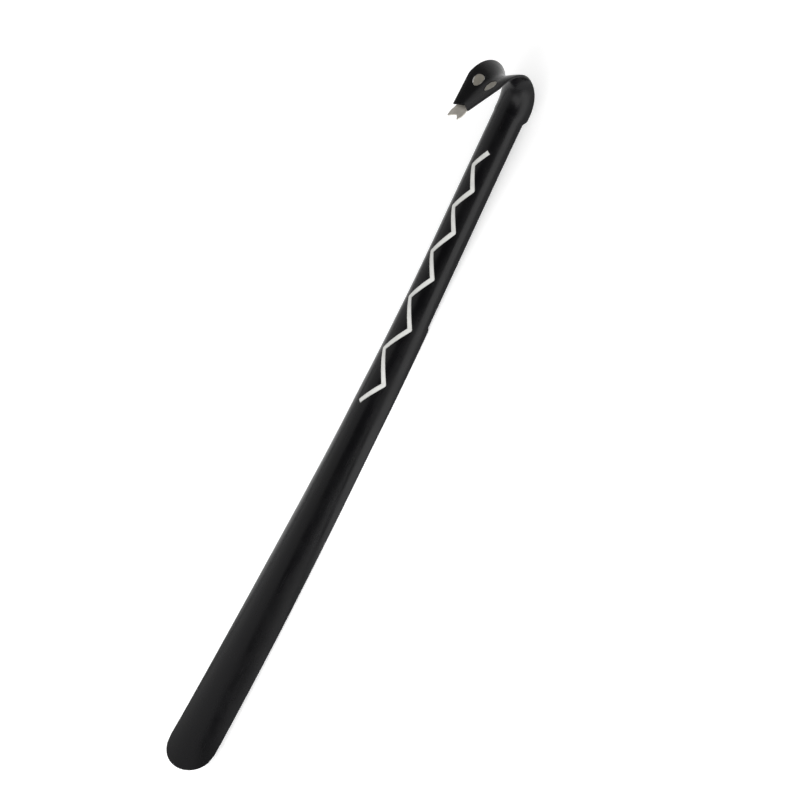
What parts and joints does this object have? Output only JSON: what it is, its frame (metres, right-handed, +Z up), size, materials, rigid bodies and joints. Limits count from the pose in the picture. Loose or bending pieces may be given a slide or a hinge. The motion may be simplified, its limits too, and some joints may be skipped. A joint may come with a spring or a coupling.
{
  "type": "long shoehorn",
  "caption": "Snake-shaped long shoehorn: a thin half-pipe shell with a wide blade, a slim handle and a hook that ends in a snake's head with inlaid eyes and a forked tongue.",
  "frame": {"origin": "middle of the bounding box's underside; the shoehorn lies on its two long edges, hollow side down", "axes": "+X from the blade's tip to the hook, +Y across, +Z up, away from the table, the way the hook bends"},
  "size_m": [0.699, 0.0522, 0.1014],
  "materials": {
    "shell": "satin black moulded plastic",
    "zigzag": "pale grey matt inlay",
    "eyes": "warm grey matt inlay",
    "tongue": "light warm grey matt plastic"
  },
  "bodies": {
    "root": {"body_shell": "shell", "zigzag_inlay": "zigzag", "left_eye_inlay": "eyes", "right_eye_inlay": "eyes", "forked_tongue": "tongue"}
  },
  "joints": []
}
